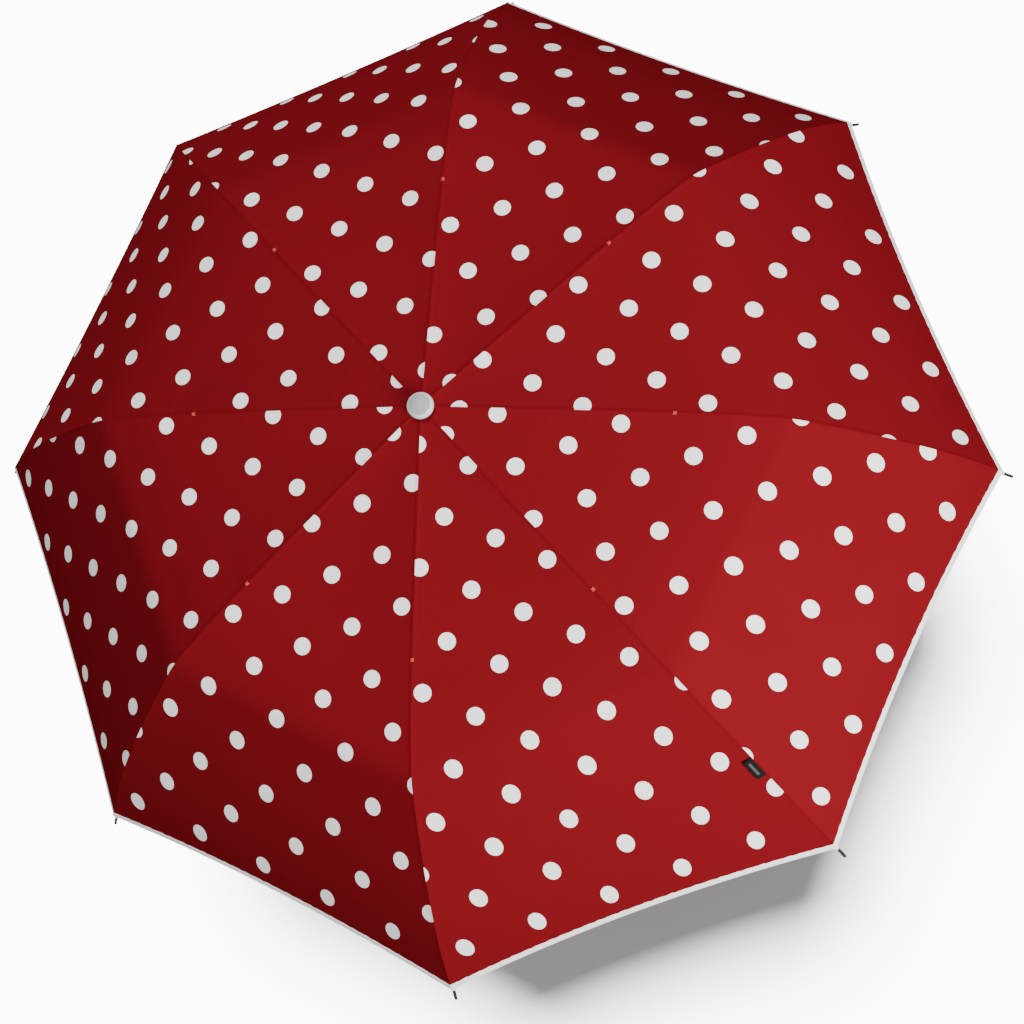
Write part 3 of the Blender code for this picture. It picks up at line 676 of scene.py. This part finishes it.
# Waves of the tape's inner edge as size in metres, turns along the hem and start
TAPE_WAVES = [(0.00034, 190.0, 0.0), (0.00024, 410.0, 1.0)]


def hem_piece(rib, side, material):
    """The binding along one half gore's hem: a flat oval section that holds the edge of the cloth."""
    across = np.linspace(0.0, 0.5, TAPE_STEPS + 1)
    section = TAPE_SECTION + [(place, -rise) for place, rise in TAPE_SECTION[:0:-1]]
    wave = sum(size * np.sin(across * turns + start) for size, turns, start in TAPE_WAVES)
    rings = []
    for share, rise in section:
        inward = share * TAPE_WIDTH + (wave if share > 0.5 else 0.0)
        along = LENGTH - scallop(across) - inward
        point, normal = cloth_frame(along, across, side)
        rings.append(point + normal * (rise * TAPE_SWELL - CLOTH / 2.0))
    mesh = lofted("hem", np.stack(rings, 1))
    mesh.transform(rib_turn(rib))
    piece = link(f"hem_binding_{rib}_{SIDE_NAMES[side]}", mesh, material)
    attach(piece, f"outer_rib_{rib}")
    squash_with_fold(piece, side, "outer")
    return piece


def make_canopy(cloth, tape):
    """All the cloth, and the binding round its hem."""
    for rib in range(1, RIBS + 1):
        for side in (1, -1):
            hem = hem_piece(rib, side, tape)
            for zone in ZONES:
                piece = cloth_piece(rib, side, zone, cloth)


# ---------------------------------------------------------------- trim and hardware

BARTACK_RADIUS = 0.189
BARTACK_COILS = 7
BARTACK_HALF_WIDTH = 0.00125
BARTACK_UNEVENNESS = 0.00012
BARTACK_PITCH = 2.1
THREAD = 0.00019
THREAD_SIDES = 6
TIE_THREAD = 0.00022
TIE_REACH = 0.0021
TIE_STEPS = 20
TIE_CLEARANCE = 0.0006
TIE_RADII = {"middle": 0.225, "upper": 0.322, "lower": 0.372}
RIB_INNER_LUG = 0.006
RIB_OUTER_LUG = 0.001
RIVET_SIDES = 14
# A rivet's half, from the rib outwards: distance from the rib's plane and radius
RIVET_PROFILE = [
    (0.00178, 0.00045),
    (0.00172, 0.00080),
    (0.00152, 0.00104),
    (0.00124, 0.00110),
    (0.00124, 0.00050),
]
WIRE_RADIUS = 0.00045
WIRE_SIDES = 8
WIRE_STEPS = 64
# A tip pocket's wall as a closed line: distance along the tip and radius
POCKET_SIDES = 20
POCKET_PROFILE = [
    (0.0006, 0.00215),
    (0.0026, 0.00220),
    (0.0040, 0.00205),
    (0.0042, 0.00195),
    (0.0042, 0.00180),
    (0.0006, 0.00184),
]
INLAY_RADIUS = 0.0083
# The inlay's rings from below: height over the cap's top and distance in from its edge
INLAY_PROFILE = [(-0.0001, 0.0), (0.00012, 0.0), (0.00022, 0.00012)]
INLAY_SIDES = 64
LABEL_RIB = 4
STRAP_RIB = 6


def carry(name, mesh, material, body, turn=None):
    """A new rigid piece that moves with a body."""
    if turn is not None:
        mesh.transform(turn)
    piece = link(name, mesh, material)
    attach(piece, body)
    return piece


def circle(count):
    """Points round a unit circle, as two arrays."""
    angles = np.linspace(0.0, math.tau, count, endpoint=False)
    return np.cos(angles), np.sin(angles)


def rivet_mesh(place):
    """A round-headed rivet across a rib at a hinge, in the rib's own plane."""
    profile = [(-y, radius) for y, radius in RIVET_PROFILE] + RIVET_PROFILE[::-1]
    over, up = circle(RIVET_SIDES)
    rings = []
    for y, radius in profile:
        ring = [place[0] + radius * over, np.full(RIVET_SIDES, y), place[1] + radius * up]
        rings.append(np.stack(ring, -1))
    return lofted("rivet", rings)


def ring_wire_mesh(centre_z, radius):
    """The wire ring that the lugs turn on."""
    over, up = circle(WIRE_SIDES)
    out = radius + WIRE_RADIUS * over
    height = centre_z + WIRE_RADIUS * up
    rings = []
    for angle in np.linspace(0.0, math.tau, WIRE_STEPS, endpoint=False):
        rings.append(np.stack([out * math.cos(angle), out * math.sin(angle), height], -1))
    return lofted("ring", rings, loop=True)


def thread_tube(path, radius, loop=False):
    """A thread along points of a rib's own plane that lie square to the rib."""
    path = np.asarray(path, float)
    ahead = np.roll(path, -1, axis=0) - np.roll(path, 1, axis=0)
    if not loop:
        ahead[0], ahead[-1] = path[1] - path[0], path[-1] - path[-2]
    ahead /= np.linalg.norm(ahead, axis=1, keepdims=True)
    along_rib = np.array([1.0, 0.0, 0.0])
    aside = np.cross(ahead, along_rib)
    over, up = circle(THREAD_SIDES)
    rings = []
    for point, out in zip(path, aside):
        rings.append(point + radius * (over[:, None] * along_rib + up[:, None] * out))
    return lofted("thread", rings, loop=loop)


def bartack_mesh():
    """A block of whipped thread across the seam, over the cloth."""
    coils = []
    middle = arc_at(BARTACK_RADIUS)
    for coil in range(BARTACK_COILS):
        along = middle + (coil - BARTACK_COILS // 2) * BARTACK_PITCH * THREAD
        half_width = BARTACK_HALF_WIDTH + BARTACK_UNEVENNESS * math.sin(2.3 * coil)
        path = []
        for offset in np.linspace(-1.0, 1.0, 7):
            reach = abs(offset) * half_width
            across = reach / (BARTACK_RADIUS * math.sin(SECTOR))
            point = cloth_point(np.array(along), np.array(across), 1.0 if offset > 0 else -1.0)
            path.append(point + (0.0, 0.0, THREAD * (1.6 - 2.2 * offset**4)))
        coils.append(thread_tube(path, THREAD))
    return merged("bartack", coils)


def node_points(node):
    """The vertices of a CAD node."""
    return np.array([vertex.co for vertex in bpy.data.objects[node].data.vertices])


def rib_line(node):
    """The centre line of one part of rib 1, as a quadratic in the distance from the shaft along +X. Its two
    ends, where the lugs are, are left out."""
    points = node_points(node)
    out = points[:, 0]
    inside = points[(out > out.min() + RIB_INNER_LUG) & (out < out.max() - RIB_OUTER_LUG)]
    return np.polyfit(inside[:, 0], inside[:, 2], 2)


def tie_mesh(radius, line):
    """A loop of thread round a rib and up to the cloth."""
    low = float(np.polyval(line, radius)) - TIE_REACH
    high = APEX + float(np.interp(radius, ARC_RADIUS, ARC_HEIGHT)) - TIE_CLEARANCE
    over, up = circle(TIE_STEPS)
    rise = (low + high) / 2.0 + (high - low) / 2.0 * up
    path = np.stack([np.full(TIE_STEPS, radius), TIE_REACH * over, rise], -1)
    return thread_tube(path, TIE_THREAD, loop=True)


def box_axes(node, rib):
    """Middle, sizes and axes of a turned CAD box: out along the rib, away from the rib's plane, and up."""
    points = node_points(node)
    middle = (points.max(0) + points.min(0)) / 2.0
    axes = np.linalg.svd(points - points.mean(0))[2]
    sizes = np.ptp((points - middle) @ axes.T, axis=0)
    out = np.array(rib_turn(rib).to_3x3() @ Vector((1.0, 0.0, 0.0)))
    aside = np.array(rib_turn(rib).to_3x3() @ Vector((0.0, 1.0, 0.0)))
    wanted = (out, aside * np.sign(middle @ aside), np.array([0.0, 0.0, 1.0]))
    return middle, sizes, [axis * np.sign(axis @ want) for axis, want in zip(axes, wanted)]


LABEL_HALF_CLOTH = 0.00011
LABEL_FOLD_RADIUS = 0.0003
LABEL_FOLD_ROOM = 0.0004
LABEL_ROOT = 0.00014
LABEL_GAP = 0.0002
LABEL_WAVE = 0.00012
LABEL_STEPS = 25


def label_piece(material):
    """A woven label folded double, its cut ends in the seam and its fold lying on the cloth."""
    middle, (length, width, _), (out, aside, up) = box_axes("label_tab", LABEL_RIB)
    start = middle - aside * width / 2.0
    fold = []
    for turn in np.linspace(-math.pi / 2.0, math.pi / 2.0, 9):
        reach = width - LABEL_FOLD_ROOM + LABEL_FOLD_RADIUS * math.cos(turn)
        fold.append((reach, LABEL_FOLD_RADIUS * math.sin(turn)))
    under = [(0.0, -LABEL_ROOT), (0.35 * width, -LABEL_GAP)]
    over = [(0.35 * width, LABEL_GAP), (0.0, LABEL_ROOT)]
    line = np.array(under + fold + over)
    ahead = np.gradient(line, axis=0)
    square = np.stack([-ahead[:, 1], ahead[:, 0]], -1) / np.linalg.norm(ahead, axis=1, keepdims=True)
    half = LABEL_HALF_CLOTH * square
    section = np.concatenate([line + half, (line - half)[::-1]])
    rings = []
    facts = []
    for share in np.linspace(-0.5, 0.5, LABEL_STEPS):
        end = 1.0 - 0.06 * abs(2.0 * share) ** 12
        wave = LABEL_WAVE * math.sin(9.0 * share) * (section[:, 0] / width) ** 2
        ring = start + out * share * length + aside * section[:, :1] * end
        rings.append(ring + up * (section[:, 1] + wave)[:, None])
        facts.append(np.stack([np.full(len(section), share), section[:, 0] / width, section[:, 1]], -1))
    mesh = lofted("label", rings)
    layer = mesh.attributes.new("label", "FLOAT_VECTOR", "POINT")
    layer.data.foreach_set("vector", np.concatenate(facts).astype(np.float32).ravel())
    piece = carry("woven_label", mesh, material, f"outer_rib_{LABEL_RIB}")
    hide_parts("label_tab")


def label_material():
    """Near-black woven cloth with a plain paler bar along its middle."""
    make = Nodes("label_weave", 0.8, specular=0.05)
    along, across, _ = make.attribute("label")
    grain = make.noise(make.place(), 2600.0, 1.0)
    off_line = make.maths("ABSOLUTE", make.maths("SUBTRACT", across, 0.52))
    off_end = make.maths("ABSOLUTE", along)
    in_width = make.span(off_line, 0.10, 0.16, 1.0, 0.0)
    in_length = make.span(off_end, 0.30, 0.34, 1.0, 0.0)
    bar = make.maths("MULTIPLY", in_width, in_length)
    cloth = make.mix(grain, (0.0060, 0.0058, 0.0060), (0.0120, 0.0116, 0.0120))
    return make.finish(make.mix(bar, cloth, (0.075, 0.073, 0.073)), None, make.bump(grain, 0.0001, 0.6))


STRAP_THICKNESS = 0.0006
STRAP_SAG = 0.0009
STRAP_CURL = 0.0005
PATCH_HALF_SIZES = (0.0085, 0.0050)
PATCH_FROM_END = 0.0175
# The patch's rings from the strap down: depth below the strap's middle and share of its full size
PATCH_PROFILE = [(-0.0010, 0.94), (-0.0013, 1.0), (-0.0021, 1.0), (-0.0023, 0.96)]


def strap_pieces(cloth, pad):
    """The tie strap and the hook patch at its free end."""
    middle, (length, width, _), (out, aside, up) = box_axes("tie_strap", STRAP_RIB)
    start = middle - out * length / 2.0
    down = np.linspace(0.0, 1.0, 61)[:, None]
    across = np.linspace(-0.5, 0.5, 13)[None, :]
    to_end = np.clip((1.0 - down) * length / (0.5 * width), 0.0, 1.0)
    narrow = np.sqrt(np.clip(1.0 - (1.0 - to_end) ** 2, 0.03, 1.0))
    sag = -STRAP_SAG * np.sin(math.pi * down) - STRAP_CURL * (2.0 * across) ** 2 * down
    across = across * narrow
    down = down * np.ones_like(across)
    top = start + out * (down * length)[..., None] + aside * (across * width)[..., None]
    top = top + up * sag[..., None]
    normals = np.broadcast_to(up, top.shape)
    mesh = thin_grid("strap", top, normals, STRAP_THICKNESS, {}, Matrix.Identity(4))
    strap = carry("tie_strap_cloth", mesh, cloth, f"outer_rib_{STRAP_RIB}")
    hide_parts("tie_strap")
    round_square = np.stack([np.sign(part) * np.abs(part) ** 0.35 for part in circle(24)], -1)
    rings = []
    for depth, size in PATCH_PROFILE:
        spots = round_square * size * PATCH_HALF_SIZES
        centre = start + out * (length - PATCH_FROM_END) + up * depth
        rings.append(centre + spots[:, :1] * out + spots[:, 1:] * aside)
    patch = carry("strap_hook_patch", lofted("patch", rings), pad, f"outer_rib_{STRAP_RIB}")
    for piece in (strap, patch):
        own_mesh(piece)


def pocket_mesh():
    """The end pocket of the binding, a sleeve round the foot of a tip (rib 1 lies on +X)."""
    points = node_points("rib_tip_1")
    line = np.linalg.svd(points - points.mean(0))[2][0]
    line = line * np.sign(line[0])
    start = points.mean(0) + line * float(((points - points.mean(0)) @ line).min())
    over_line = np.cross(line, (0.0, 1.0, 0.0))
    beside, above = circle(POCKET_SIDES)
    round_line = beside[:, None] * np.array([0.0, 1.0, 0.0]) + above[:, None] * over_line
    rings = []
    for distance, radius in POCKET_PROFILE:
        rings.append(start + line * distance + radius * round_line)
    return lofted("pocket", rings, loop=True)


def make_trim(steel, tape, thread, red_thread, face):
    """The small parts that the CAD leaves out: rivets, wires, threads, tip pockets and the cap's inlay."""
    middle_line, outer_line = rib_line("middle_rib_1"), rib_line("outer_rib_1")
    for rib in range(1, RIBS + 1):
        turn = rib_turn(rib)
        inner, middle, outer = (f"{zone}_rib_{rib}" for zone in ZONES)
        rivets = (("fold", INNER_HINGE, inner), ("stay", STAY_HINGE, inner), ("outer", OUTER_HINGE, middle))
        for name, hinge, body in rivets:
            carry(f"{name}_rivet_{rib}", rivet_mesh(hinge), steel, body, turn)
        carry(f"bartack_{rib}", bartack_mesh(), thread, middle, turn)
        ties = (("middle", middle_line, middle), ("upper", outer_line, outer), ("lower", outer_line, outer))
        for name, line, body in ties:
            mesh = tie_mesh(TIE_RADII[name], line)
            carry(f"tie_{name}_{rib}", mesh, red_thread, body, turn)
        carry(f"tip_pocket_{rib}", pocket_mesh(), tape, outer, turn)
    wire_radius, crown_wire_z = CROWN_HINGE
    for name, height, body in (("crown", crown_wire_z, "upper_tube"), ("runner", RUNNER_HINGE_Z, "runner")):
        carry(f"{name}_wire", ring_wire_mesh(height, wire_radius), steel, body)
    over, beside = circle(INLAY_SIDES)
    rings = []
    for rise, inset in INLAY_PROFILE:
        radius = INLAY_RADIUS - inset
        rings.append(np.stack([radius * over, radius * beside, np.full(INLAY_SIDES, CAP_HIGH.z + rise)], -1))
    carry("cap_inlay", lofted("inlay", rings), face, "upper_tube")


# ---------------------------------------------------------------- build

make_camera()
make_stage()
hem_tape = tape_material("hem_tape", (0.93, 0.92, 0.91), (0.80, 0.78, 0.77))
make_canopy(canopy_material(), hem_tape)

finishes = {
    "frame_steel": steel_material("frame_steel", (0.62, 0.63, 0.65), 0.30),
    "tip_plastic": plastic_material("tip_plastic", (0.022, 0.022, 0.024), 0.60, specular=0.15),
    "frame_plastic": plastic_material("frame_plastic", (0.022, 0.022, 0.025), 0.40),
    "cap_plastic": plastic_material("cap_plastic", (0.66, 0.65, 0.64), 0.45, specular=0.3),
    "handle_plastic": plastic_material("handle_plastic", (0.150, 0.0050, 0.0080), 0.42, specular=0.3),
    "label_cloth": label_material(),
}
bartack_thread = tape_material("bartack_thread", (0.62, 0.085, 0.065), (0.42, 0.04, 0.035), 0.0003)
red_thread = tape_material("red_thread", RED, RED_DEEP, 0.0004)
hook_tape = tape_material("hook_tape", (0.020, 0.020, 0.022), (0.045, 0.045, 0.048), 0.0007)
cap_face = plastic_material("cap_face", (0.36, 0.365, 0.37), 0.50, specular=0.15)
make_trim(finishes["frame_steel"], hem_tape, bartack_thread, red_thread, cap_face)
label_piece(finishes["label_cloth"])
strap_pieces(red_thread, hook_tape)
for entry in frame["record"]["subparts"]:
    finish = finishes.get(entry["material_slot"])
    if finish is not None:
        node = bpy.data.objects[entry["node"]]
        node.data.materials.clear()
        node.data.materials.append(finish)
